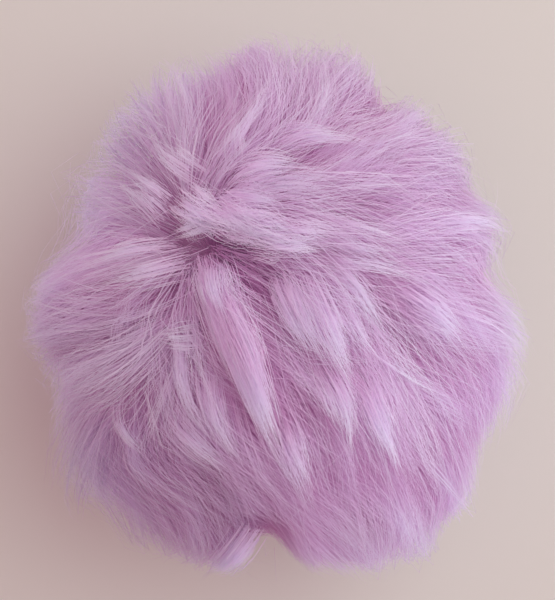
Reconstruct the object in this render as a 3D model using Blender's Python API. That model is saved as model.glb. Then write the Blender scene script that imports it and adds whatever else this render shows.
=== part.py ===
"""Faux-fur pom pom: one round ball of long pile, drawn in to a crown and lying on a small flat spot.

Metres, +Z up. The origin is the middle of the ball's plan, on the surface that it rests on, and
+Y is the long way of the plan. The pile is combed away from a crown that sits off the top of the
ball, towards -X and +Y, and it lies in layered, pointed locks. The body is a slightly flattened
ellipsoid: every lock, tuft and dent is a change of its radius, so the ball stays one closed solid.
"""

import math
from collections import namedtuple

import bmesh
import bpy
from mathutils import Matrix, Vector

MM = 0.001

# The body under the locks: half sizes of the ellipsoid, and the flat spot that it rests on.
HALF_WIDTH = 42.0 * MM
HALF_LENGTH = 45.5 * MM
HALF_HEIGHT = 38.5 * MM
FLAT_SPOT_RADIUS = 17.0 * MM
ICOSPHERE_LEVELS = 5

# The crown, where the pile parts: its place in plan, and the hollow there.
CROWN_X = -15.0 * MM
CROWN_Y = 14.0 * MM
CROWN_DEPTH = 3.0 * MM
CROWN_SPREAD = math.radians(9)

# The common locks, laid out on a spiral round the ball.
LOCK_COUNT = 64
LOCK_LENGTH = 31.0 * MM
LOCK_HALF_WIDTH = 7.0 * MM
LOCK_RISE = 4.0 * MM
LOCK_RISE_CHANGE = 1.0 * MM  # how much the rise varies
LOCK_RISE_STEP = 2.4  # phase of that change from one lock to the next, in radians
LOCK_TAPER = 0.75  # share of its width that a lock loses towards its tip
LOCK_TAPER_POWER = 1.5
SWIRL = math.radians(18)  # how far the combing turns round the crown

LOCK_BACK = -0.15  # where a lock starts to rise, as a share of its length from root to tip
LOCK_CREST = 0.7  # where it is highest
LOCK_END = 1.1  # where it has dropped to the body again

# Near the flat spot the pile is pressed smooth: the locks fade between these elevations.
PRESSED_BELOW = math.radians(-62)
FREE_ABOVE = math.radians(-38)

# The main locks on the upper side, each from its root to its tip in plan, in millimetres.
MainLock = namedtuple("MainLock", "root_x root_y tip_x tip_y rise half_width")
MAIN_LOCKS = (
    MainLock(-17, 13, -2, -21, 4.6, 8.0),  # the long middle lock
    MainLock(0, 8, 12, -8, 4.2, 6.5),  # its shorter neighbour
    MainLock(-18, 21, 11, 12, 5.0, 7.5),  # the fringe that hangs over both
    MainLock(-6, 27, 20, 26, 3.8, 8.0),
    MainLock(14, 8, 31, -12, 4.0, 8.0),
    MainLock(15, -12, 24, -34, 4.2, 7.0),
    MainLock(-25, -16, -7, -31, 3.8, 5.5),
    MainLock(-32, -2, -24, -25, 3.6, 6.5),
    MainLock(-22, 16, -38, 10, 3.6, 7.0),
    MainLock(2, -22, 8, -41, 3.8, 6.0),
)

# Tufts and notches of the plan's outline. Azimuth runs from +X towards +Y, in degrees; reach is
# in millimetres, below 0 for a notch, and spread is the half width in degrees.
Tuft = namedtuple("Tuft", "azimuth elevation reach spread")
TUFTS = (
    Tuft(88, 8, 2.6, 16),
    Tuft(106, 0, -3.2, 5),
    Tuft(120, 4, 1.6, 9),
    Tuft(153, 0, -1.4, 9),
    Tuft(184, -4, 0.8, 8),
    Tuft(220, 2, 2.6, 9),
    Tuft(248, 4, 3.4, 9),
    Tuft(267, 0, -2.8, 5),
    Tuft(294, 5, 5.0, 11),
    Tuft(331, 0, 0.6, 8),
    Tuft(32, 0, -0.8, 9),
)

FUR_COLOUR = (0.584, 0.342, 0.604, 1.0)
FUR_ROUGHNESS = 0.9
FUR_SHEEN = 0.6
SHARP_ANGLE = math.radians(50)  # the flat spot's rim is the only edge sharper than this

HALF_SIZES = Vector((HALF_WIDTH, HALF_LENGTH, HALF_HEIGHT))
MEAN_RADIUS = sum(HALF_SIZES) / 3
GOLDEN_ANGLE = math.pi * (3 - math.sqrt(5))

# A lock as the shape uses it: two directions from the middle of the ball, and sizes in metres.
Lock = namedtuple("Lock", "root tip rise half_width")


def smooth_step(low, high, value):
    """0 below low, 1 above high, and a smooth rise between them."""
    share = min(1.0, max(0.0, (value - low) / (high - low)))
    return share * share * (3 - 2 * share)


def body_radius(direction):
    """The ellipsoid's radius along a unit direction."""
    scaled = Vector(direction[axis] / HALF_SIZES[axis] for axis in range(3))
    return 1 / scaled.length


def upper_direction(x, y):
    """The direction from the middle of the ball to its upper side at a place in plan."""
    inside = max(0.0, 1 - (x / HALF_WIDTH) ** 2 - (y / HALF_LENGTH) ** 2)
    return Vector((x, y, HALF_HEIGHT * math.sqrt(inside))).normalized()


def combed_direction(root, crown):
    """The tip of a common lock: its root, moved away from the crown and a little round it."""
    axis = crown.cross(root).normalized()
    flow = axis.cross(root).normalized()
    flow.rotate(Matrix.Rotation(SWIRL, 3, root))
    reach = LOCK_LENGTH / MEAN_RADIUS
    return (root * math.cos(reach) + flow * math.sin(reach)).normalized()


def common_locks(crown):
    """Locks at even places on a spiral round the ball, with rises that change from one to the next."""
    locks = []
    for index in range(LOCK_COUNT):
        height = 1 - 2 * (index + 0.5) / LOCK_COUNT
        across = math.sqrt(1 - height * height)
        turn = index * GOLDEN_ANGLE
        root = Vector((across * math.cos(turn), across * math.sin(turn), height))
        rise = LOCK_RISE + LOCK_RISE_CHANGE * math.sin(LOCK_RISE_STEP * index)
        locks.append(Lock(root, combed_direction(root, crown), rise, LOCK_HALF_WIDTH))
    return locks


def main_locks():
    """The locks of the table, as directions and metres."""
    locks = []
    for row in MAIN_LOCKS:
        root = upper_direction(row.root_x * MM, row.root_y * MM)
        tip = upper_direction(row.tip_x * MM, row.tip_y * MM)
        locks.append(Lock(root, tip, row.rise * MM, row.half_width * MM))
    return locks


def lock_height(direction, lock):
    """How far a lock stands above the body: it swells from root to crest and drops past its tip."""
    run = lock.tip - lock.root
    along = (direction - lock.root).dot(run) / run.length_squared
    if not LOCK_BACK < along < LOCK_END:
        return 0.0
    line = (lock.root + run * along).normalized()
    aside = (direction - line).length * MEAN_RADIUS
    towards_tip = max(0.0, along / LOCK_END)
    half_width = lock.half_width * (1 - LOCK_TAPER * towards_tip**LOCK_TAPER_POWER)
    swell = smooth_step(LOCK_BACK, LOCK_CREST, along)
    drop = 1 - smooth_step(LOCK_CREST, LOCK_END, along)
    return lock.rise * swell * drop * math.exp(-((aside / half_width) ** 2))


def tuft_reach(direction):
    """What the tufts and notches of the outline add along a direction."""
    reach = 0.0
    for tuft in TUFTS:
        azimuth, elevation = math.radians(tuft.azimuth), math.radians(tuft.elevation)
        level = math.cos(elevation)
        centre = Vector((level * math.cos(azimuth), level * math.sin(azimuth), math.sin(elevation)))
        angle = direction.angle(centre)
        reach += tuft.reach * MM * math.exp(-((angle / math.radians(tuft.spread)) ** 2))
    return reach


def fur_radius(direction, crown, locks):
    """The ball's radius along a direction: the body, its highest lock, the tufts and the crown."""
    highest = max(lock_height(direction, lock) for lock in locks)
    highest *= smooth_step(PRESSED_BELOW, FREE_ABOVE, math.asin(direction.z))
    hollow = CROWN_DEPTH * math.exp(-((direction.angle(crown) / CROWN_SPREAD) ** 2))
    return body_radius(direction) + highest + tuft_reach(direction) - hollow


def flat_spot_height():
    """How far the flat spot lies below the middle of the ball."""
    return -HALF_HEIGHT * math.sqrt(1 - (FLAT_SPOT_RADIUS / HALF_WIDTH) ** 2)


def cut_flat_spot(shape):
    """Cuts the ball off level and closes the cut with one flat face."""
    geometry = shape.verts[:] + shape.edges[:] + shape.faces[:]
    cut = bmesh.ops.bisect_plane(
        shape,
        geom=geometry,
        plane_co=(0, 0, flat_spot_height()),
        plane_no=(0, 0, -1),
        clear_outer=True,
    )
    rim = [item for item in cut["geom_cut"] if isinstance(item, bmesh.types.BMEdge)]
    bmesh.ops.edgeloop_fill(shape, edges=rim)


def centre_in_plan(shape):
    """Moves the ball so that its plan is centred on the origin and its flat spot is at z = 0."""
    places = [vertex.co for vertex in shape.verts]
    middle_x = (min(p.x for p in places) + max(p.x for p in places)) / 2
    middle_y = (min(p.y for p in places) + max(p.y for p in places)) / 2
    bmesh.ops.translate(shape, verts=shape.verts, vec=(-middle_x, -middle_y, -flat_spot_height()))


def fur_material():
    """Soft lilac pile."""
    material = bpy.data.materials.new("lilac_fur")
    material.use_nodes = True
    shader = material.node_tree.nodes["Principled BSDF"]
    shader.inputs["Base Color"].default_value = FUR_COLOUR
    shader.inputs["Roughness"].default_value = FUR_ROUGHNESS
    shader.inputs["Metallic"].default_value = 0.0
    shader.inputs["Sheen Weight"].default_value = FUR_SHEEN
    return material


def fur_ball():
    """The whole pom pom as one closed solid."""
    crown = upper_direction(CROWN_X, CROWN_Y)
    locks = common_locks(crown) + main_locks()

    shape = bmesh.new()
    bmesh.ops.create_icosphere(shape, subdivisions=ICOSPHERE_LEVELS, radius=1.0)
    for vertex in shape.verts:
        direction = vertex.co.normalized()
        vertex.co = direction * fur_radius(direction, crown, locks)
    cut_flat_spot(shape)
    centre_in_plan(shape)
    bmesh.ops.recalc_face_normals(shape, faces=shape.faces)

    mesh = bpy.data.meshes.new("fur_ball")
    shape.to_mesh(mesh)
    shape.free()
    mesh.shade_smooth()
    mesh.set_sharp_from_angle(angle=SHARP_ANGLE)
    mesh.materials.append(fur_material())
    ball = bpy.data.objects.new("fur_ball", mesh)
    bpy.context.scene.collection.objects.link(ball)
    return ball


def main():
    for item in list(bpy.data.objects):
        bpy.data.objects.remove(item)
    fur_ball()


main()
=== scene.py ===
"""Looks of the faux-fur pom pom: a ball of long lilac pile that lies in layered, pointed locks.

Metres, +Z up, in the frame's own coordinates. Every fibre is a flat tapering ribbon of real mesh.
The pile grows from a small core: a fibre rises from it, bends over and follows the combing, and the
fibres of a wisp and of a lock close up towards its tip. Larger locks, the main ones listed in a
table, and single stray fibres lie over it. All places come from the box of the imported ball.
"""

import itertools
import math
from collections import namedtuple

import bmesh
import bpy
import numpy as np
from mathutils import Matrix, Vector
from mathutils.kdtree import KDTree


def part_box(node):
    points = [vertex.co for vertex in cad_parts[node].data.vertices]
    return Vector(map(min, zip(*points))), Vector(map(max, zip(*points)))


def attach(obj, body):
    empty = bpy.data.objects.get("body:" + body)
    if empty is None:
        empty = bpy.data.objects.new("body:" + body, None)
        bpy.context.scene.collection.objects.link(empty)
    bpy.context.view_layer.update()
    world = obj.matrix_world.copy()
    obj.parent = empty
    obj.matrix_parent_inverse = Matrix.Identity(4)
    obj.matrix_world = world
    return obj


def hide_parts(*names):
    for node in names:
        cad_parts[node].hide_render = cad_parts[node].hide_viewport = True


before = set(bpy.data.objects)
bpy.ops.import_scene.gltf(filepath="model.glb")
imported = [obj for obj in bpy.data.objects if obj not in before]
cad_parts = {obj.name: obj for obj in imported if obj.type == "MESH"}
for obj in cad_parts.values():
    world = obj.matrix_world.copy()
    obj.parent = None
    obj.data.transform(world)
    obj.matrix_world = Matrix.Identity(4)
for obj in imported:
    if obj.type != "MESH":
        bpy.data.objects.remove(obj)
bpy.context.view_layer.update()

MM = 0.001
LOW, HIGH = (np.array(corner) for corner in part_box("fur_ball"))
RNG = np.random.default_rng(20)

# ---- The ball's build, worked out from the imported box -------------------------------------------
PILE_DEPTH = 18.0 * MM  # from the core to the outside of the pile
CORE_DROP = 2.0 * MM  # the core sinks a little into the pile under it
FLOOR_GAP = 0.4 * MM  # the lowest pile lies this far above the table
SPLAY = 0.6  # pile that is pressed onto the table moves outwards by this share of the press
RIM = 0.985  # laid locks fall off the ball's side from this share of its half width
RIM_FALL = 30.0 * MM
HALF = (HIGH - LOW) / 2
CORE = HALF - PILE_DEPTH
OUTSIDE = HALF * np.array((1.02, 1.0, 1.0))  # the ends of the pile stand a little past the solid
CENTRE = (LOW + HIGH) / 2 - np.array((0.0, 0.0, CORE_DROP))

# ---- Combing: which way the pile lies, seen from above ------------------------------------------
# x and y are in mm from the middle of the ball, heading in degrees from +X towards +Y, and felt
# is how far the row is felt, in mm.
Comb = namedtuple("Comb", "x y heading felt")
COMBING = (
    Comb(-34, 2, 182, 9),
    Comb(-37, 12, 192, 8),
    Comb(-26, 8, 186, 7),
    Comb(-27, 27, 152, 9),
    Comb(-16, 36, 122, 9),
    Comb(-7, 35, 98, 8),
    Comb(2, 41, 86, 9),
    Comb(14, 39, 76, 9),
    Comb(24, 30, 42, 9),
    Comb(8, 28, 30, 7),
    Comb(-10, 22, 12, 7),
    Comb(2, 17, -12, 7),
    Comb(14, 19, -6, 8),
    Comb(32, 20, 2, 9),
    Comb(27, 6, -22, 9),
    Comb(33, -6, -32, 9),
    Comb(26, -14, -46, 9),
    Comb(21, -28, -62, 9),
    Comb(12, -6, -50, 7),
    Comb(3, -20, -64, 8),
    Comb(3, -35, -60, 9),
    Comb(-9, -2, -68, 7),
    Comb(-8, -16, -58, 7),
    Comb(-15, -25, -48, 7),
    Comb(-28, -24, -52, 7),
    Comb(-27, -10, 228, 7),
    Comb(-36, -14, 205, 8),
    Comb(-13, -43, 222, 6),
    Comb(-28, -36, 232, 7),
    Comb(8, -46, -70, 7),
)
CROWN = np.array((-15.0, 12.5)) * MM
CROWN_PULL = 0.05  # how strongly the pile runs away from the crown, against a row of the table
FALL = 1.3  # how strongly the pile falls on the lower half of the ball, against the combing

# ---- Tufts and notches round the outline ----------------------------------------------------------
# azimuth and spread are in degrees from +X towards +Y, and reach is in mm, outwards.
Tuft = namedtuple("Tuft", "azimuth reach spread")
TUFTS = (
    Tuft(9, -6.0, 7),
    Tuft(32, -4.0, 7),
    Tuft(50, -1.5, 6),
    Tuft(64, -5.0, 5),
    Tuft(78, 1.2, 6),
    Tuft(105, -2.5, 6),
    Tuft(125, 1.5, 5),
    Tuft(141, -1.0, 6),
    Tuft(161, -5.5, 7),
    Tuft(186, 2.5, 9),
    Tuft(199, -1.0, 4),
    Tuft(220, 6.0, 9),
    Tuft(238, 2.0, 6),
    Tuft(252, 1.2, 5),
    Tuft(267, -7.5, 6),
    Tuft(290, 4.5, 5),
    Tuft(300, 6.5, 5),
    Tuft(313, 4.5, 6),
    Tuft(346, 2.0, 9),
)

# ---- Locks laid over the pile: places in plan and sizes in mm ------------------------------------
# bow is how far the middle bulges to the left of the way from root to tip; spread and close are
# the half widths over the middle and at the tip; lift is how far it stands over the pile. Its
# fibres end one after another, so that it is seen to end well before the tip of its row.
LaidLock = namedtuple("LaidLock", "root_x root_y tip_x tip_y bow spread close lift fibres tone")
LAID_LOCKS = (
    LaidLock(-14, 12, 3, -35, 0.2, 1.8, 0.9, 0.9, 300, 1.0),
    LaidLock(-16, 12, 0, -27, 1.6, 1.5, 0.8, 0.8, 240, 0.8),
    LaidLock(-15, 13, 6, -42, 1.0, 2.8, 1.3, 1.2, 440, 2.2),
    LaidLock(-14, 10, -8, -6, 0.5, 2.2, 1.4, 0.5, 130, 0.2),
    LaidLock(-2, 13, 16, -23, 0.8, 2.4, 1.0, 0.8, 380, 0.7),
    LaidLock(5, 10, 20, -14, 0.8, 3.0, 1.8, 0.3, 160, 0.4),
    LaidLock(-16, 18, 8, 14, 2.0, 3.4, 2.6, 0.6, 300, 0.6),
    LaidLock(-13, 23, 12, 21, 2.0, 3.6, 2.8, 0.5, 240, 0.3),
    LaidLock(-4, 30, 20, 27, 1.5, 3.4, 2.4, 0.3, 160, 0.2),
    LaidLock(12, -6, 23, -36, 0.8, 2.4, 1.2, 0.4, 200, 0.8),
    LaidLock(19, 6, 38, -14, 1.0, 3.4, 2.0, 0.3, 160, 0.5),
    LaidLock(-15, -5, -4, -29, -0.8, 2.0, 1.0, 0.4, 140, 0.6),
    LaidLock(-24, -12, -3, -29, -1.8, 0.9, 0.5, 0.7, 80, 0.8),
    LaidLock(-31, -14, -17, -25, -1.2, 0.8, 0.4, 0.7, 50, 0.7),
    LaidLock(-15, 12, -41, 5, 0.8, 2.8, 1.8, 0.4, 150, 0.5),
    LaidLock(-17, 15, -33, 30, 1.0, 2.8, 1.8, 0.3, 130, 0.3),
    LaidLock(-11, 21, -28, 34, 0.8, 1.2, 0.8, 0.6, 80, 0.7),
    LaidLock(-12, 19, -21, 12, 1.5, 1.6, 1.2, 1.0, 110, 0.8),
    LaidLock(-4, -14, 7, -40, 0.8, 2.4, 1.2, 0.4, 160, 0.5),
    LaidLock(4, -4, 13, -30, 0.8, 2.2, 1.2, 0.4, 150, 0.4),
    LaidLock(-2, -34, -22, -57, 0.8, 1.6, 0.7, 0.8, 220, 1.1),
    LaidLock(-9, 26, -6, 36, -0.4, 0.9, 0.5, 0.8, 50, 0.9),
    LaidLock(-13, -4, -24, 0, 2.0, 0.9, 0.5, 0.9, 60, 0.8),
    LaidLock(25, 16, 45, 13, 0.5, 1.2, 0.6, 0.6, 60, 0.8),
)

LAID_DROP = 1.3  # how far the locks settle into the pile, mm
LAID_DIVE = 6.0  # how much deeper a lock starts at its root, mm
LAID_OPENNESS = 0.6  # locks that lie on top get lighter painted shade, as if more open: the power their openness takes
GATHER_REACH = 4.0 * MM  # how far a lock draws in the pile beside it
GATHER_PULL = 0.6  # how much of the way it draws it
GATHERING_SPREAD = 2  # only locks at least this wide do so, mm

# ---- Where the pile parts to show deeper fur, darker in real and painted shade: mm in plan and mm of sinking ---
Hollow = namedtuple("Hollow", "x y radius sink")
HOLLOWS = (
    Hollow(-14.5, 12.0, 2.2, 5.0),
    Hollow(-5.5, 8.8, 2.4, 5.5),
    Hollow(-3.0, 4.5, 3.0, 5.0),
    Hollow(-1.0, 0.0, 2.8, 3.5),
    Hollow(4.0, -5.5, 1.8, 4.0),
    Hollow(-17.0, 1.5, 2.6, 3.0),
    Hollow(-12.0, -27.0, 2.6, 4.0),
    Hollow(-28.0, 13.0, 3.0, 4.0),
    Hollow(-13.0, -12.5, 2.6, 2.5),
    Hollow(0.5, -21.0, 2.4, 2.5),
)

# ---- The frizzy edge of the upper locks, over the dark parting below them --------------------------
FRINGE_FROM = np.array((-9.0, 12.0)) * MM  # where the tips of its locks lie
FRINGE_TO = np.array((11.5, 9.5)) * MM
FRINGE_LOCKS = 11
FRINGE_LENGTH = 13.0 * MM
FRINGE_HEADINGS = np.radians((-38.0, -22.0))  # of its first and its last lock
FRINGE_FIBRES = 90

# ---- Pile ----------------------------------------------------------------------------------------
LOCKS = 420
WISPS = 4200
PILE_FIBRES = 88000
LOCK_STRAYS = math.radians(14)  # how far the headings of locks, wisps and fibres differ
WISP_STRAYS = math.radians(9)
FIBRE_STRAYS = math.radians(10)
ROOT_DEPTH = 1.5 * MM  # how far the roots stand inside the core
BEND_SOON = 1.5  # the higher, the sooner a fibre bends over
BEND_SOON_ON_TOP = 1.0  # what the top of the ball adds to that
STEEPEST = 0.92  # the most that a fibre may rise in one step, as a share of the step
TOP_LOCKS = 120
TOP_FIBRES = 100
TOP_SPREAD = 3.0 * MM
THIN_WISPS = 520
THIN_FIBRES = 24
THIN_SPREAD = 1.0 * MM
STRAND_SPREAD = 1.5 * MM
STRAND_THICKNESS = 0.9 * MM
FIBRES_IN_WISP = 10
WISPS_CLOSE = 0.5  # how far the wisps of the pile close up to their lock's middle at their tips
ANY_PHASE = 6.3  # about a whole turn, radians
FIBRES_PER_PIECE = 22000  # keeps a piece under 200,000 triangles
FIBRE_LENGTH = 37.0 * MM
FIBRE_WIDTH = 0.13 * MM
STRAY_FIBRES = 350
PILE_ALONG = np.array((0.0, 0.28, 0.52, 0.76, 1.0))  # bends of a fibre, from root to tip
LOCK_ALONG = np.array((0.0, 0.22, 0.42, 0.62, 0.81, 1.0))
GUIDE_ALONG = np.linspace(0, 1, 13)
STRAY_ALONG = np.linspace(0, 1, 9)

# ---- The pile as a cloud, for its shading normals and its painted shade --------------------------
CELL = 1.5 * MM
CELLS = 92
CLOUD_LOW = CENTRE - CELL * CELLS / 2
BLURS = 3  # a cell's share goes to its neighbours this many times
FIT_WAYS = 300
FIT_KEENNESS = 25.0  # the higher, the closer to each way its own stretch is kept
SURFACE_COVER = 1.0  # how many fibres deep the surface is taken to be
HAZE = 2.5 * MM  # how far loose ends stand over the surface
PROBE_STEP = 0.5 * MM
OPACITY = 0.17  # how much of the light each layer of fibres takes away in the painted shade
FLOOR_DENSITY = 2000.0  # the table under the ball deepens the painted shade there like very dense pile, 1/m
LOOK_TILT = 1.3  # how far the ways in which openness is read lean from the way out
LOOK_STEP = 1.2 * CELL
LOOK_STEPS = 10
CLOUD_SLOPE = 0.45  # how much the shape of the cloud tells in the shading, against the ball's

# ---- The ribbons' map: tone across it, and up it painted shade by how open the fibre lies ---------
MIDDLE_TONE = 0.45
TONE_STEP = 0.15
RIBBON_ACROSS = 0.03  # a ribbon's own width on the map
MAP_MARGIN = 0.02
TIP_SHARE = 0.25  # how much of it is how near the tip it is, rather than the painted shade of how open it lies

# ---- Camera --------------------------------------------------------------------------------------
CAMERA_PLAN = (-0.0008, 0.0020)
CAMERA_ABOVE = 0.258
CAMERA_LENS = 85.0

GOLDEN_ANGLE = math.pi * (3 - math.sqrt(5))


def unit(vectors):
    """The vectors at length 1."""
    return vectors / np.maximum(np.linalg.norm(vectors, axis=-1, keepdims=True), 1e-12)


def smooth(low, high, value):
    """0 below low, 1 above high, smooth between."""
    share = np.clip((value - low) / (high - low), 0.0, 1.0)
    return share * share * (3 - 2 * share)


def spread_directions(count, jitter, lowest=-0.97):
    """Directions evenly spread over the ball down to a height of lowest, each moved a little."""
    index = np.arange(count) + 0.5
    height = 1 - (1 - lowest) * index / count
    across = np.sqrt(1 - height**2)
    turn = index * GOLDEN_ANGLE
    places = np.stack((across * np.cos(turn), across * np.sin(turn), height), axis=1)
    return unit(places + RNG.normal(0, jitter, places.shape))


def core_distance(direction):
    """How far the core reaches along each direction."""
    return 1 / np.linalg.norm(direction / CORE, axis=-1)


def outline_reach(direction):
    """What the tufts and notches add along each direction: most at the ball's widest."""
    azimuth = np.degrees(np.arctan2(direction[..., 1], direction[..., 0]))
    reach = np.zeros(azimuth.shape)
    for tuft in TUFTS:
        apart = (azimuth - tuft.azimuth + 180) % 360 - 180
        reach += tuft.reach * MM * np.exp(-((apart / tuft.spread) ** 2))
    level = direction[..., 2]
    return reach * smooth(0.75, 0.25, level) * smooth(-0.95, -0.2, level)


def pile_depth(direction):
    """How far the outside of the pile is above the core along each direction."""
    return 1 / np.linalg.norm(direction / OUTSIDE, axis=-1) - core_distance(direction)


def combing(plan):
    """The heading of the pile, as unit vectors in plan, at places in plan."""
    total = CROWN_PULL * unit(plan - CROWN)
    for row in COMBING:
        heading = math.radians(row.heading)
        apart = np.sum((plan - np.array((row.x, row.y)) * MM) ** 2, axis=1)
        weight = np.exp(-apart / (2 * (row.felt * MM) ** 2))
        total += weight[:, None] * np.array((math.cos(heading), math.sin(heading)))
    return unit(total)


def lie(points):
    """The direction in which the pile lies at each point, along the ball, and the way out."""
    out = unit((points - CENTRE) / CORE**2)
    wanted = np.zeros_like(points)
    wanted[:, :2] = combing(points[:, :2])
    wanted[:, 2] = -FALL * smooth(0.6, -0.25, out[:, 2])
    along = wanted - np.sum(wanted * out, axis=1, keepdims=True) * out
    return unit(along), out


def turned(along, out, angle):
    """Along, turned about out by an angle."""
    c, s = np.cos(angle)[:, None], np.sin(angle)[:, None]
    return along * c + np.cross(out, along) * s


def grow(direction, length, lift, heading_error, stations):
    """Fibres as rows of points. lift is the share of the pile's depth that each one rises to."""
    flatten = (BEND_SOON + BEND_SOON_ON_TOP * smooth(0.1, 0.7, direction[:, 2]))[:, None]
    depth = (pile_depth(direction) * lift)[:, None]
    height = depth * (1 - (1 - stations) ** flatten) - ROOT_DEPTH
    points = np.empty((len(direction), len(stations), 3))
    points[:, 0] = CENTRE + direction * (core_distance(direction) + height[:, 0])[:, None]
    for k in range(len(stations) - 1):
        step = length * (stations[k + 1] - stations[k])
        here = points[:, k]
        along, out = lie(here)
        along = turned(along, out, heading_error)
        rise = np.clip(height[:, k + 1] - height[:, k], -STEEPEST * step, STEEPEST * step)
        slide = np.sqrt(step**2 - rise**2)
        foot = unit(here + along * slide[:, None] - CENTRE)
        above = np.linalg.norm(here - CENTRE, axis=1) - core_distance(unit(here - CENTRE)) + rise
        points[:, k + 1] = CENTRE + foot * (core_distance(foot) + above)[:, None]
    return points


def nearest(directions, centres):
    """For each direction, which centre is nearest."""
    tree = KDTree(len(centres))
    for index, centre in enumerate(centres):
        tree.insert(centre, index)
    tree.balance()
    return np.array([tree.find(direction)[1] for direction in directions])


def keep_above_floor(points):
    """Presses what would go through the floor flat onto it and a little outwards."""
    below = np.maximum(LOW[2] + FLOOR_GAP - points[..., 2], 0)
    away = unit(points[..., :2] - CENTRE[:2])
    points[..., :2] += away * (SPLAY * below)[..., None]
    points[..., 2] += below
    return points


def hollowed(points):
    """Presses the pile in where it parts."""
    plan, out = points[..., :2], unit(points - CENTRE)
    sink = np.zeros(points.shape[:-1])
    for row in HOLLOWS:
        apart = np.linalg.norm(plan - np.array((row.x, row.y)) * MM, axis=-1)
        sink += row.sink * MM * np.exp(-((apart / (row.radius * MM)) ** 2))
    sink *= smooth(0.0, 0.4, out[..., 2])
    return points - sink[..., None] * out


def wave(points, size, waves, phase):
    """Bends fibres from side to side and up and down, more towards their tips."""
    share = np.linspace(0, 1, points.shape[1])[None, :]
    run = unit(np.gradient(points, axis=1))
    out = unit(points - CENTRE)
    side = unit(np.cross(run, out))
    turn = 2 * math.pi * waves[:, None] * share + phase[:, None]
    amount = size[:, None] * share**1.2
    points += (amount * np.sin(turn))[..., None] * side
    points += (0.5 * amount * np.cos(1.3 * turn))[..., None] * out
    return points


def pile():
    """All fibres of the pile: their points, tone and width."""
    lock_at = spread_directions(LOCKS, 0.06)
    wisp_at = spread_directions(WISPS, 0.02)
    fibre_at = spread_directions(PILE_FIBRES, 0.012)
    RNG.shuffle(fibre_at)

    lock_turn = RNG.normal(0, LOCK_STRAYS, LOCKS)
    lock_lift = RNG.uniform(0.76, 1.02, LOCKS)
    lock_tone = RNG.normal(0, 1, LOCKS)
    lock_length = FIBRE_LENGTH * RNG.normal(1, 0.10, LOCKS)
    locks = grow(lock_at, lock_length, lock_lift, lock_turn, PILE_ALONG)

    wisp_lock = nearest(wisp_at, lock_at)
    wisp_turn = lock_turn[wisp_lock] + RNG.normal(0, WISP_STRAYS, WISPS)
    wisp_length = lock_length[wisp_lock] * RNG.uniform(0.8, 1.08, WISPS)
    wisp_lift = lock_lift[wisp_lock] * RNG.uniform(0.90, 1.04, WISPS)
    wisp_tone = lock_tone[wisp_lock] + RNG.normal(0, 0.6, WISPS)
    wisps = grow(wisp_at, wisp_length, wisp_lift, wisp_turn, PILE_ALONG)
    share = PILE_ALONG[None, :, None]
    wisps += (locks[wisp_lock] - wisps) * WISPS_CLOSE * share**1.6
    gathered(wisps)
    sizes = RNG.uniform(0, 1.2, WISPS) * MM
    wave(wisps, sizes, RNG.uniform(0.5, 1.3, WISPS), RNG.uniform(0, ANY_PHASE, WISPS))

    wisp = nearest(fibre_at, wisp_at)
    turn = wisp_turn[wisp] + RNG.normal(0, FIBRE_STRAYS, PILE_FIBRES)
    length = wisp_length[wisp] * RNG.uniform(0.70, 1.08, PILE_FIBRES)
    lift = wisp_lift[wisp] * RNG.uniform(0.76, 1.03, PILE_FIBRES)
    tone = wisp_tone[wisp] + RNG.normal(0, 0.6, PILE_FIBRES)
    fibres = grow(fibre_at, length, lift, turn, PILE_ALONG)
    close = RNG.uniform(0.25, 0.8, PILE_FIBRES) * (0.85 + 0.45 * smooth(0.3, 0.8, fibre_at[:, 2]))
    close = close[:, None, None]
    fibres += (wisps[wisp] - fibres) * close * share**1.3
    return fibres, tone, FIBRE_WIDTH * RNG.uniform(0.7, 1.2, PILE_FIBRES)


def over_pile(plan, above):
    """Points over the ball at places in plan, above the outside of the pile by above."""
    scaled = plan / OUTSIDE[:2]
    far = np.linalg.norm(scaled, axis=-1)
    level = np.sqrt(np.clip(1 - far**2, 0, 1)) * OUTSIDE[2] - RIM_FALL * np.maximum(far - RIM, 0)
    points = np.concatenate((plan, level[..., None]), axis=-1)
    direction = unit(points)
    return CENTRE + points + direction * above[..., None]


def sampled(guide, place):
    """Points on a guide at places from 0 at its root to 1 at its tip."""
    at = np.clip(place, 0, 1) * (len(guide) - 1)
    low = np.minimum(at.astype(int), len(guide) - 2)
    return guide[low] + (guide[low + 1] - guide[low]) * (at - low)[..., None]


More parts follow.
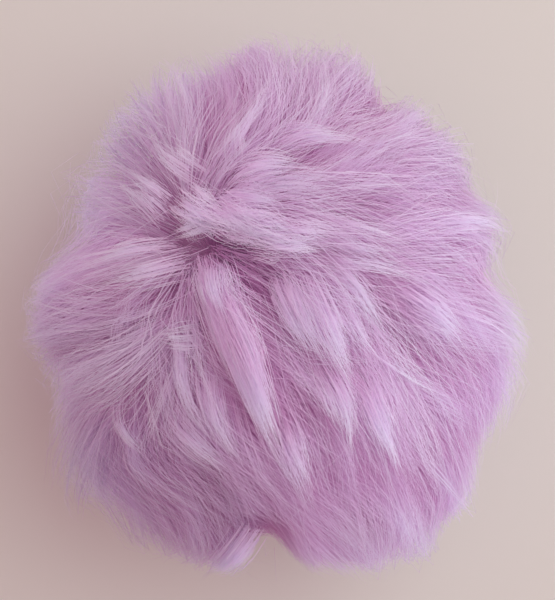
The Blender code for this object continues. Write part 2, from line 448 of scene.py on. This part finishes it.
def strand(guide, count, spread, close, thick, tone, frizz=0.15):
    """Fibres gathered along a guide in wisps that end one after another, with their tone and width.

    The half width runs from spread to close; frizz is how far single fibres wave, in mm.
    """
    wisps = max(3, count // FIBRES_IN_WISP)
    wisp = RNG.integers(0, wisps, count)
    wisp_place = np.clip(RNG.normal(0, 0.75, wisps), -1.5, 1.5)
    wisp_up = RNG.uniform(-1, 0.3, wisps)[wisp]
    wisp_end = (RNG.uniform(0.72, 1.0, wisps) - 0.2 * np.abs(wisp_place))[wisp]
    start = RNG.uniform(0, 0.35, count)[:, None]
    end = (wisp_end * RNG.uniform(0.65, 1.0, count))[:, None]
    place = start + (end - start) * LOCK_ALONG[None, :]
    line = sampled(guide, place)
    run = unit(sampled(unit(np.gradient(guide, axis=0)), place))
    out = unit((line - CENTRE) / CORE**2)
    side = unit(np.cross(out, run))
    width = spread + (close - spread) * smooth(0.3, 1.0, place)
    loose = 0.35 * (1 - 0.2 * LOCK_ALONG[None, :] ** 1.5)
    stray = RNG.normal(0, 1, count) * np.where(RNG.random(count) < 0.2, 2.2, 1.0)
    aside = width * (wisp_place[wisp][:, None] + stray[:, None] * loose)
    up = thick * (wisp_up[:, None] + RNG.normal(0, 0.5, count)[:, None] * (1 - 0.5 * place))
    fibres = line + aside[..., None] * side + up[..., None] * out
    size = RNG.uniform(0, 0.5, wisps)[wisp] * MM + RNG.uniform(0, frizz, count) * MM
    waves = RNG.uniform(0.5, 1.5, wisps)[wisp]
    phase = RNG.uniform(0, ANY_PHASE, wisps)[wisp] + RNG.normal(0, 0.5, count)
    wave(fibres, size, waves, phase)
    shade = tone + RNG.normal(0, 0.7, wisps)[wisp] + RNG.normal(0, 0.5, count)
    return fibres, shade, FIBRE_WIDTH * RNG.uniform(0.5, 0.95, count)


def lock(guide, count, spread, close, tone):
    """A lock as a loose bundle of strands, the outer ones shorter, so that its end is uneven."""
    parts = max(1, round(spread / STRAND_SPREAD))
    out = unit((guide - CENTRE) / CORE**2)
    side = unit(np.cross(out, unit(np.gradient(guide, axis=0))))
    strands = []
    for part in range(parts):
        place = 0.0 if parts == 1 else 1.7 * (part + 0.5) / parts - 0.85
        place += RNG.normal(0, 0.15)
        first = RNG.uniform(0, 0.25)
        last = RNG.uniform(0.82, 1.0) - 0.28 * abs(place)
        reach = first + (last - first) * GUIDE_ALONG
        width = spread + (close - spread) * smooth(0.2, 1.0, reach)
        apart = width * (place + RNG.normal(0, 0.25) * GUIDE_ALONG)
        bend = RNG.normal(0, 0.7) * MM * np.sin(math.pi * GUIDE_ALONG)
        height = RNG.uniform(-0.8, 0.3) * MM
        line = sampled(guide, reach) + (apart + bend)[:, None] * sampled(side, reach)
        line += height * sampled(out, reach)
        shade = tone + RNG.normal(0, 0.4)
        ends = STRAND_SPREAD, 0.5 * STRAND_SPREAD
        strands.append(strand(line, count // parts, *ends, STRAND_THICKNESS, shade))
    return strands


def top_locks(number, fibres, spread, tone, fit):
    """Locks that lie on the pile all round the ball, grown and fitted as the pile is."""
    at = spread_directions(number, 0.10, lowest=-0.75)
    length = FIBRE_LENGTH * RNG.uniform(0.85, 1.15, number)
    lift = RNG.uniform(0.86, 1.0, number)
    guides = grow(at, length, lift, RNG.normal(0, math.radians(13), number), GUIDE_ALONG)
    sizes = RNG.uniform(0, 1.5, number) * MM
    wave(guides, sizes, RNG.uniform(0.3, 0.8, number), RNG.uniform(0, ANY_PHASE, number))
    guides = fitted(guides, *fit)
    tones = RNG.normal(tone, 0.6, number)
    spreads = spread * RNG.uniform(0.6, 1.4, number)
    return [
        part
        for guide, wide, shade in zip(guides, spreads, tones)
        for part in lock(guide, fibres, wide, 0.6 * wide, shade)
    ]


def laid_guide(row):
    """The middle line of one lock of the table, over the pile."""
    root, tip = np.array((row.root_x, row.root_y)) * MM, np.array((row.tip_x, row.tip_y)) * MM
    way = tip - root
    aside = unit(np.array((-way[1], way[0])))
    bulge = row.bow * MM * 4 * GUIDE_ALONG * (1 - GUIDE_ALONG)
    plan = root + GUIDE_ALONG[:, None] * way + bulge[:, None] * aside
    stand = row.lift * np.sin(math.pi * 0.9 * GUIDE_ALONG)
    dive = LAID_DIVE * (1 - GUIDE_ALONG) ** 4
    return over_pile(plan, (stand - dive - LAID_DROP) * MM)


def laid_lock(row):
    """The fibres of one lock of the table."""
    return lock(laid_guide(row), row.fibres, row.spread * MM, row.close * MM, row.tone)


def gathered(points):
    """Draws the upper pile sideways towards the locks of the table, which parts it between them."""
    guides = np.concatenate([laid_guide(row)[2:] for row in LAID_LOCKS if row.spread >= GATHERING_SPREAD])
    tree = KDTree(len(guides))
    for index, place in enumerate(guides):
        tree.insert(place, index)
    tree.balance()
    flat = points[:, 1:].reshape(-1, 3)
    found = np.array([tree.find(place)[1] for place in flat])
    apart = guides[found] - flat
    run = unit(np.gradient(points, axis=1))[:, 1:].reshape(-1, 3)
    out = unit(flat - CENTRE)
    apart -= np.sum(apart * run, axis=1, keepdims=True) * run
    apart -= np.sum(apart * out, axis=1, keepdims=True) * out
    far = np.linalg.norm(apart, axis=1, keepdims=True)
    pull = GATHER_PULL * np.exp(-((far / GATHER_REACH) ** 2)) * smooth(0.2, 0.6, out[:, 2:])
    points[:, 1:] += (apart * pull).reshape(points[:, 1:].shape)
    return points


def fringe():
    """Short curly locks side by side whose pale tips make a loose edge over a dark parting."""
    locks = []
    for share in np.linspace(0, 1, FRINGE_LOCKS):
        tip = FRINGE_FROM + (FRINGE_TO - FRINGE_FROM) * share + RNG.normal(0, 0.8, 2) * MM
        heading = FRINGE_HEADINGS[0] + (FRINGE_HEADINGS[1] - FRINGE_HEADINGS[0]) * share
        heading += RNG.normal(0, 0.12)
        back = FRINGE_LENGTH * np.array((math.cos(heading), math.sin(heading)))
        plan = tip - (1 - GUIDE_ALONG[:, None]) * back
        above = (1.6 * GUIDE_ALONG**0.7 - 1.6 - 1.2 * (1 - GUIDE_ALONG) ** 2) * MM
        guide = over_pile(plan, above)
        locks.append(strand(guide, FRINGE_FIBRES, 2.0 * MM, 1.8 * MM, 1.0 * MM, 1.2, frizz=0.7))
    return locks


def stray_fibres():
    """Single fine fibres that stand a little off the pile and curl."""
    direction = spread_directions(STRAY_FIBRES, 0.05, lowest=-0.5)
    RNG.shuffle(direction)
    count = len(direction)
    points = np.empty((count, len(STRAY_ALONG), 3))
    points[:, 0] = CENTRE + direction * (core_distance(direction) + 0.7 * pile_depth(direction))[:, None]
    length = RNG.uniform(7, 18, count) * MM
    heading = RNG.normal(0, math.radians(28), count)
    curl = RNG.normal(0, math.radians(5), count)
    stand = RNG.uniform(0.0, 0.18, count)
    for k in range(len(STRAY_ALONG) - 1):
        step = length / (len(STRAY_ALONG) - 1)
        along, out = lie(points[:, k])
        along = turned(along, out, heading + curl * k)
        tilt = np.where(k < 2, 0.75, stand)[:, None]
        points[:, k + 1] = points[:, k] + unit(along + out * tilt) * step[:, None]
    tone = RNG.normal(1.2, 0.8, count)
    return keep_above_floor(points), tone, FIBRE_WIDTH * RNG.uniform(0.35, 0.6, count)


def cloud(strands):
    """How densely the fibres fill the space: their area in each cell, smoothed, in 1/m."""
    shape = (CELLS, CELLS, CELLS)
    parts = 4
    share = (np.arange(parts) + 0.5) / parts
    density = np.zeros(CELLS**3)
    for fibres, _, width in strands:
        ahead = np.diff(fibres, axis=1)
        points = fibres[:, :-1, None] + ahead[:, :, None] * share[:, None]
        area = np.linalg.norm(ahead, axis=-1) * width[:, None] / parts
        cell = ((points.reshape(-1, 3) - CLOUD_LOW) / CELL).astype(int)
        index = np.ravel_multi_index(cell.T, shape)
        density += np.bincount(index, np.repeat(area.ravel(), parts), CELLS**3)
    density = density.reshape(shape) / CELL**3
    for _ in range(BLURS):
        for axis in range(3):
            density = (np.roll(density, 1, axis) + 2 * density + np.roll(density, -1, axis)) / 4
    return density


def cells_of(points):
    """Which cell of the cloud each point is in."""
    place = ((points - CLOUD_LOW) / CELL).astype(int)
    return tuple(np.moveaxis(np.clip(place, 0, CELLS - 1), -1, 0))


def stretch_to_fit(density):
    """How much deeper the pile has to stand to reach the ball's outside, over a spread of ways."""
    ways = spread_directions(FIT_WAYS, 0)
    steps = np.arange(0.48 * CELLS * CELL, 10 * MM, -PROBE_STEP)
    inward = CENTRE + ways[:, None, :] * steps[:, None]
    passed = np.cumsum(density[cells_of(inward)] * PROBE_STEP, axis=1)
    reached = steps[np.argmax(passed > SURFACE_COVER, axis=1)]
    core = core_distance(ways)
    stretch = (pile_depth(ways) - HAZE) / np.maximum(reached - core, 6 * MM)
    return ways, 1 + (np.clip(stretch, 0.8, 1.5) - 1) * smooth(-0.98, -0.8, ways[:, 2])


def fitted(points, ways, stretch):
    """The fibres with their height over the core stretched, and with the outline's tufts."""
    for k in range(points.shape[1]):
        apart = points[:, k] - CENTRE
        far = np.linalg.norm(apart, axis=1)
        direction = apart / far[:, None]
        weight = np.exp(FIT_KEENNESS * (direction @ ways.T - 1))
        factor = weight @ stretch / weight.sum(axis=1)
        core = core_distance(direction)
        height = (far - core) * factor
        height += outline_reach(direction) * smooth(0.0, 1.0, height / pile_depth(direction))
        points[:, k] = CENTRE + direction * (core + height)[:, None]
    return points


def read_cloud(field, points):
    """A field of the cloud, read between its cells."""
    place = (points - CLOUD_LOW) / CELL - 0.5
    low = np.floor(place).astype(int)
    part = place - low
    total = 0
    for corner in itertools.product((0, 1), repeat=3):
        weight = np.prod(np.where(np.array(corner) == 1, part, 1 - part), axis=-1)
        x, y, z = np.moveaxis(low + np.array(corner), -1, 0)
        value = field[x, y, z]
        total = total + value * (weight if value.ndim == weight.ndim else weight[..., None])
    return total


def openness(density, points):
    """How open the cloud is from each point out to the room: 0 is buried and 1 is open. It sets the
    fibres' painted shade.
    """
    out = unit(points - CENTRE)
    across = unit(np.cross(out, np.array((0.31, 0.52, 0.80))))
    over = np.cross(out, across)
    total = np.zeros(points.shape[:-1])
    ways = ((0, 0), (1, 0), (-1, 0), (0, 1), (0, -1))
    for x, y in ways:
        way = unit(out + LOOK_TILT * (x * across + y * over))
        passed = np.zeros(points.shape[:-1])
        for step in range(1, LOOK_STEPS + 1):
            place = points + way * (step * LOOK_STEP)
            # painted shade under the ball: below the table counts as very dense pile
            dense = density[cells_of(place)] + FLOOR_DENSITY * (place[..., 2] < LOW[2])
            passed += dense * LOOK_STEP
        total += np.exp(-OPACITY * passed)
    return total / len(ways)


def soft_normals(slope, points):
    """Shading normals out of the ball and out of the cloud, so that locks shade as soft bodies."""
    out = unit((points - CENTRE) / CORE**2)
    return unit(out + CLOUD_SLOPE * unit(-read_cloud(slope, points)))


def ribbons(name, along, strands, look, material):
    """One mesh of flat ribbons that taper to a point. Its map holds tone across, and up it some paling to
    the tip and painted shade by openness.
    """
    fibres, tone, width = strands
    normal, open_share = look
    count, rows = fibres.shape[:2]
    run = unit(np.gradient(fibres, axis=1))
    side = unit(np.cross(run, unit(fibres - CENTRE)))
    roll = RNG.uniform(-1.0, 1.0, count)[:, None, None]
    side = side * np.cos(roll) + np.cross(run, side) * np.sin(roll)
    taper = np.clip((1 - along) * 1.7, 0, 1) ** 0.8
    half = (width[:, None] * taper / 2)[:, :, None] * side
    edges = np.stack((fibres - half, fibres + half), axis=2)[:, :-1].reshape(count, -1, 3)
    vertices = np.concatenate((edges, fibres[:, -1:]), axis=1).reshape(-1, 3)
    normals = np.repeat(normal, 2, axis=1)[:, :-1].reshape(-1, 3)

    first = (np.arange(count) * (2 * rows - 1))[:, None]
    quad = (np.arange(rows - 2)[:, None] * 2 + np.array((0, 1, 3, 2))).ravel()
    point = 2 * (rows - 2) + np.arange(3)
    corners = (first + np.concatenate((quad, point))).ravel()
    starts = (np.arange(count) * (4 * rows - 5))[:, None] + np.arange(rows - 1) * 4
    mesh = bpy.data.meshes.new(name)
    mesh.vertices.add(len(vertices))
    mesh.vertices.foreach_set("co", vertices.astype(np.float32).ravel())
    mesh.loops.add(len(corners))
    mesh.loops.foreach_set("vertex_index", corners.astype(np.int32))
    mesh.polygons.add(starts.size)
    mesh.polygons.foreach_set("loop_start", starts.astype(np.int32).ravel())
    mesh.update(calc_edges=True)

    across = np.clip(MIDDLE_TONE + TONE_STEP * tone, MAP_MARGIN, 0.95)
    u = np.repeat(across[:, None], 2 * rows - 1, axis=1)
    u[:, 1::2] += RIBBON_ACROSS
    # up the map: a little paling towards the tip, and mostly painted shade from how buried the fibre lies
    bright = TIP_SHARE * along + (1 - TIP_SHARE) * open_share
    v = np.repeat(MAP_MARGIN + (1 - 2 * MAP_MARGIN) * bright, 2, axis=1)[:, :-1]
    uv = np.stack((u, v), axis=2).reshape(-1, 2)[corners]
    layer = mesh.uv_layers.new(name="OFBake")
    layer.data.foreach_set("uv", uv.astype(np.float32).ravel())
    mesh.shade_smooth()
    mesh.normals_split_custom_set_from_vertices(normals)
    mesh.materials.append(material)
    item = bpy.data.objects.new(name, mesh)
    bpy.context.scene.collection.objects.link(item)
    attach(item, "root")
    return item


def colour_ramp(nodes, stops):
    """A colour ramp node with stops of place and colour."""
    node = nodes.new("ShaderNodeValToRGB")
    elements = node.color_ramp.elements
    while len(elements) < len(stops):
        elements.new(0.5)
    for element, (place, colour) in zip(elements, stops):
        element.position = place
        element.color = (*colour, 1.0)
    return node


def fibre_material():
    """Lilac acrylic pile with tone per fibre, paler towards the tips, and painted shade: deep mauve where
    it lies buried, pale where open.
    """
    material = bpy.data.materials.new("lilac_fibre_with_painted_shade")
    material.use_nodes = True
    nodes, links = material.node_tree.nodes, material.node_tree.links
    shader = nodes["Principled BSDF"]
    output = nodes["Material Output"]
    where = nodes.new("ShaderNodeUVMap")
    where.uv_map = "OFBake"
    split = nodes.new("ShaderNodeSeparateXYZ")
    links.new(where.outputs["UV"], split.inputs[0])

    # painted shade: deep mauve for buried fibres, pale for open fibres and tips
    tip_paling_and_painted_shade = colour_ramp(
        nodes,
        (
            (0.0, (0.44, 0.11, 0.30)),
            (0.35, (0.66, 0.27, 0.54)),
            (0.65, (0.83, 0.60, 0.82)),
            (0.85, (0.88, 0.79, 0.93)),
            (1.0, (0.88, 0.79, 0.92)),
        ),
    )
    links.new(split.outputs["Y"], tip_paling_and_painted_shade.inputs["Fac"])
    tone = colour_ramp(
        nodes,
        (
            (0.0, (0.84, 0.74, 0.85)),
            (0.5, (0.95, 0.92, 0.95)),
            (1.0, (1.0, 1.0, 1.0)),
        ),
    )
    links.new(split.outputs["X"], tone.inputs["Fac"])

    blend = nodes.new("ShaderNodeMix")
    blend.data_type = "RGBA"
    blend.blend_type = "MULTIPLY"
    blend.inputs["Factor"].default_value = 1.0
    links.new(tip_paling_and_painted_shade.outputs["Color"], blend.inputs["A"])
    links.new(tone.outputs["Color"], blend.inputs["B"])
    links.new(blend.outputs["Result"], shader.inputs["Base Color"])
    shader.inputs["Roughness"].default_value = 0.75
    shader.inputs["Specular IOR Level"].default_value = 0.15

    glow = nodes.new("ShaderNodeBsdfTranslucent")
    links.new(blend.outputs["Result"], glow.inputs["Color"])
    mix = nodes.new("ShaderNodeMixShader")
    mix.inputs["Fac"].default_value = 0.42
    links.new(shader.outputs["BSDF"], mix.inputs[1])
    links.new(glow.outputs["BSDF"], mix.inputs[2])
    links.new(mix.outputs["Shader"], output.inputs["Surface"])
    return material


def core_material():
    """The backing and short underfur, only glimpsed between the locks, coloured a deep plum as painted
    shade of the deep pile.
    """
    material = bpy.data.materials.new("lilac_backing_with_painted_shade")
    material.use_nodes = True
    nodes, links = material.node_tree.nodes, material.node_tree.links
    shader = nodes["Principled BSDF"]
    noise = nodes.new("ShaderNodeTexNoise")
    noise.inputs["Scale"].default_value = 900.0
    # painted shade: the backing is a deep plum, far darker than the lilac fibres, as the deep pile looks
    # in shade
    ramp = colour_ramp(nodes, ((0.3, (0.26, 0.10, 0.22)), (0.7, (0.38, 0.17, 0.33))))
    links.new(noise.outputs["Fac"], ramp.inputs["Fac"])
    links.new(ramp.outputs["Color"], shader.inputs["Base Color"])
    shader.inputs["Roughness"].default_value = 0.95
    return material


def fur_core():
    """The closed core under the pile."""
    shape = bmesh.new()
    bmesh.ops.create_icosphere(shape, subdivisions=5, radius=1.0)
    for vertex in shape.verts:
        vertex.co = Vector(CENTRE + np.array(vertex.co) * CORE)
    mesh = bpy.data.meshes.new("fur_core")
    shape.to_mesh(mesh)
    shape.free()
    mesh.shade_smooth()
    mesh.materials.append(core_material())
    item = bpy.data.objects.new("fur_core", mesh)
    bpy.context.scene.collection.objects.link(item)
    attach(item, "root")
    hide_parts("fur_ball")
    return item


def pale_floor():
    """A plain pale tabletop."""
    bpy.ops.mesh.primitive_plane_add(size=4.0, location=(0, 0, LOW[2]))
    floor = bpy.context.object
    floor.name = "floor"
    material = bpy.data.materials.new("pale_table")
    material.use_nodes = True
    shader = material.node_tree.nodes["Principled BSDF"]
    shader.inputs["Base Color"].default_value = (0.80, 0.85, 0.77, 1)
    shader.inputs["Roughness"].default_value = 0.8
    floor.data.materials.append(material)


def area_light(name, place, size, power, colour, only=None):
    """A soft square lamp aimed at the ball. One that is only for the fur casts no shadows."""
    light = bpy.data.lights.new(name, "AREA")
    light.shape = "SQUARE"
    light.size = size
    light.energy = power
    light.color = colour
    light.use_shadow = only is None
    lamp = bpy.data.objects.new(name, light)
    lamp.location = place
    aim = Vector(CENTRE) - Vector(place)
    lamp.rotation_mode = "QUATERNION"
    lamp.rotation_quaternion = aim.to_track_quat("-Z", "Y")
    if only:
        lamp.light_linking.receiver_collection = only
    bpy.context.scene.collection.objects.link(lamp)


def lights(pieces):
    """A large window to the right and a warm room.

    The two glows stand for light scattered inside the pile, so they are only for the fur.
    """
    furry = bpy.data.collections.new("furry")
    for piece in pieces:
        furry.objects.link(piece)
    area_light("window", (0.27, 0.12, 0.45), 0.5, 1.4, (0.88, 1.0, 1.0))
    area_light("window_glow", (0.43, -0.18, 0.26), 0.6, 2.1, (0.66, 1.0, 0.90), furry)
    area_light("top_glow", (-0.10, 0.40, 0.36), 0.6, 1.0, (0.88, 1.0, 0.90), furry)
    world = bpy.data.worlds.new("room")
    world.use_nodes = True
    background = world.node_tree.nodes["Background"]
    background.inputs["Color"].default_value = (1.0, 0.62, 0.66, 1)
    background.inputs["Strength"].default_value = 0.54
    bpy.context.scene.world = world


def camera():
    """Straight above the ball."""
    data = bpy.data.cameras.new("camera")
    data.lens = CAMERA_LENS
    eye = bpy.data.objects.new("camera", data)
    eye.location = (*CAMERA_PLAN, CENTRE[2] + CAMERA_ABOVE)
    bpy.context.scene.collection.objects.link(eye)
    bpy.context.scene.camera = eye


def looks(density, slope, fibres, power):
    """How the fibres shade: their soft normals, and how open they lie, to a power, which sets their
    painted shade.
    """
    return soft_normals(slope, fibres), openness(density, fibres) ** power


def fur():
    """The whole pile, as joined meshes of ribbons."""
    grown = list(pile())
    fit = stretch_to_fit(cloud((grown,)))
    grown[0] = keep_above_floor(hollowed(fitted(grown[0], *fit)))
    locks = top_locks(TOP_LOCKS, TOP_FIBRES, TOP_SPREAD, 0.3, fit)
    locks += top_locks(THIN_WISPS, THIN_FIBRES, THIN_SPREAD, 0.8, fit)
    locks += [part for row in LAID_LOCKS for part in laid_lock(row)]
    locks += fringe()
    laid = [np.concatenate(values) for values in zip(*locks)]
    laid[0] = keep_above_floor(laid[0])
    strays = stray_fibres()
    density = cloud((grown, laid))
    slope = np.stack(np.gradient(density, CELL), axis=-1)
    fibre = fibre_material()
    pieces = []
    for label, along, strands, power in (
        ("pile", PILE_ALONG, grown, 1.0),
        ("locks", LOCK_ALONG, laid, LAID_OPENNESS),
        ("strays", STRAY_ALONG, strays, 1.0),
    ):
        for number, start in enumerate(range(0, len(strands[0]), FIBRES_PER_PIECE), 1):
            part = [values[start : start + FIBRES_PER_PIECE] for values in strands]
            look = looks(density, slope, part[0], power)
            pieces.append(ribbons(f"fur_{label}_{number}", along, part, look, fibre))
    return pieces


furry_pieces = [fur_core(), *fur()]
pale_floor()
lights(furry_pieces)
camera()
bpy.context.scene.view_settings.view_transform = "Standard"
